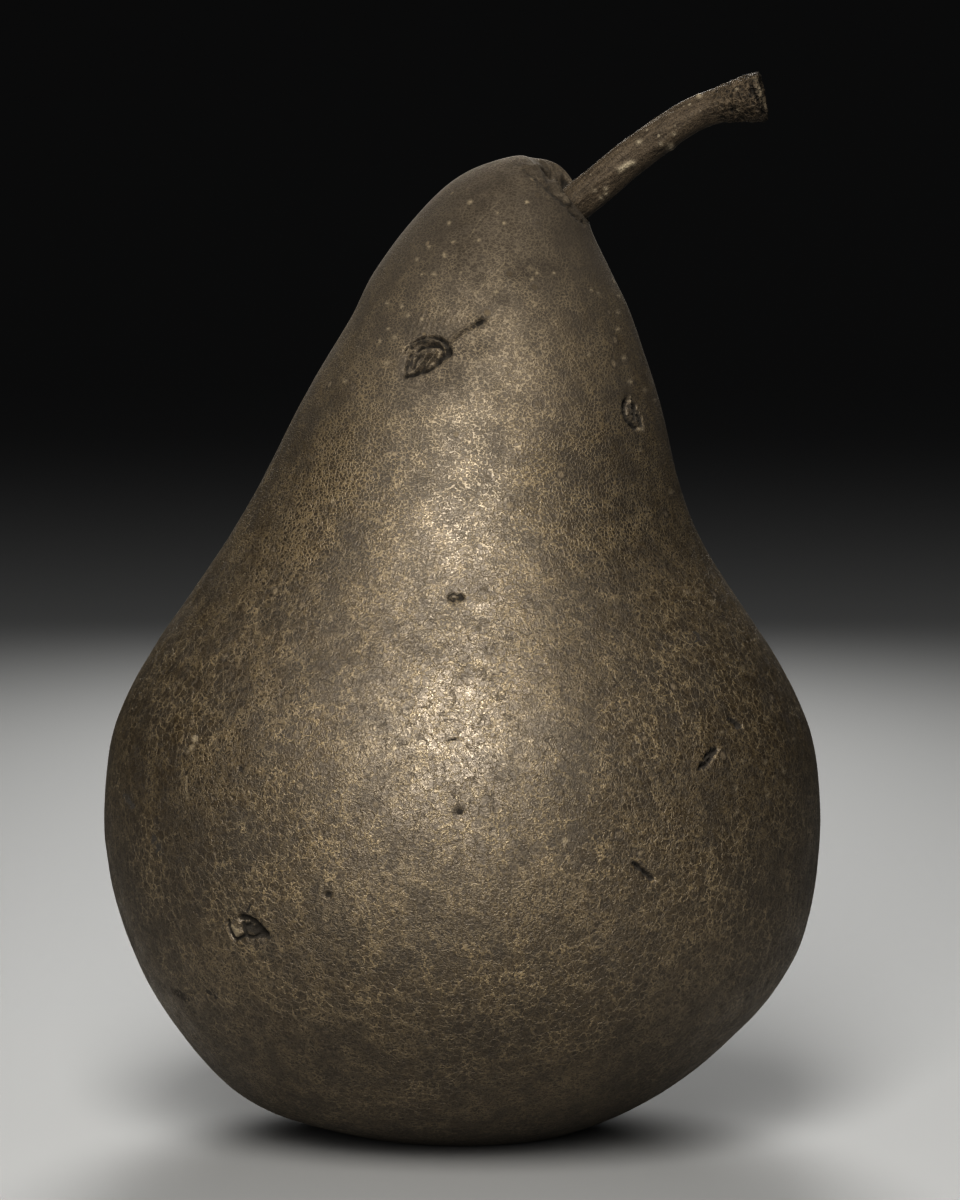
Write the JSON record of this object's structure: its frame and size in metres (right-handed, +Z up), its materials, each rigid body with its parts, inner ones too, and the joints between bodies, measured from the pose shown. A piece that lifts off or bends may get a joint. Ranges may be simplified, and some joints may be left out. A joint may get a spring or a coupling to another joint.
{
  "type": "pear",
  "caption": "Upright pear with a wide round belly, a tapering neck that leans to one side, a curved woody stem and a small calyx basin under it.",
  "frame": {"origin": "on the surface the pear stands on, midway across the fruit's widest part", "axes": "+Z up through the fruit towards the stem, +X the side that the neck and stem lean to, -Y the front"},
  "size_m": [0.076, 0.0735, 0.1124],
  "materials": {
    "skin": "fine russet net on a satin skin, with pale lenticels",
    "stem": "matte, rough, warty bark",
    "calyx": "matte, dry and brittle"
  },
  "bodies": {
    "root": {"fruit": "skin", "stem": "stem", "calyx": "calyx"}
  },
  "joints": []
}
